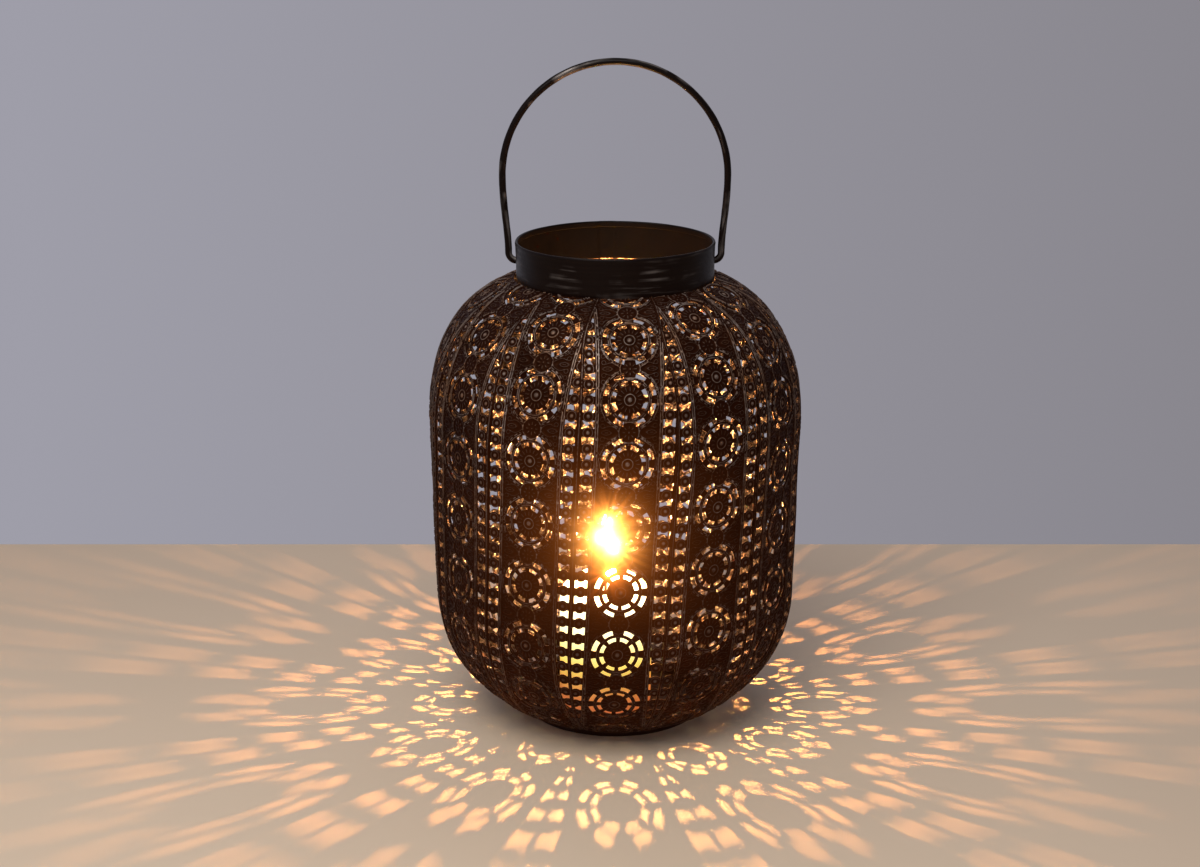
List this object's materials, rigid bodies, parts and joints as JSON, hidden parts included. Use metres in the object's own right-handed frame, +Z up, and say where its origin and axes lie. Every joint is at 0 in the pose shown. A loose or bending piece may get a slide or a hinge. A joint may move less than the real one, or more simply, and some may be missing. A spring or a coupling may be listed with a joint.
{
  "type": "metal lantern",
  "caption": "Rounded lantern of stamped, pierced metal gores with a plain neck collar, a swinging wire bail and a pillar candle standing inside.",
  "frame": {"origin": "centre of the foot ring, on the surface the lantern stands on", "axes": "+Z up, X along the line through the bail's two pivot holes, -Y towards the viewer"},
  "size_m": [0.2088, 0.2087, 0.3778],
  "materials": {
    "panel_metal": "black-brown lacquer with antique bronze rubbed on raised lines, heat-stained bare metal inside",
    "band_metal": "satin black with brushed bronze smears",
    "bail_wire": "satin black, bronze where rubbed",
    "wax": "translucent ivory wax",
    "wick": "burnt cotton"
  },
  "bodies": {
    "lantern": {"panel_01": "panel_metal", "panel_02": "panel_metal", "panel_03": "panel_metal", "panel_04": "panel_metal", "panel_05": "panel_metal", "panel_06": "panel_metal", "panel_07": "panel_metal", "panel_08": "panel_metal", "panel_09": "panel_metal", "panel_10": "panel_metal", "panel_11": "panel_metal", "panel_12": "panel_metal", "collar_band": "band_metal", "foot_ring": "band_metal", "floor_plate": "band_metal"},
    "bail": {"bail_handle": "bail_wire"},
    "candle": {"candle_wax": "wax", "candle_wick": "wick"}
  },
  "joints": [
    {"name": "bail_swing", "type": "hinge", "parent": "lantern", "child": "bail", "pos_m": [0, 0, 0.2658], "axis": [1, 0, 0], "range_deg": [-107, 107]},
    {"name": "candle_lift", "type": "slide", "parent": "lantern", "child": "candle", "axis": [0, 0, 1], "range_m": [0, 0.25]}
  ]
}
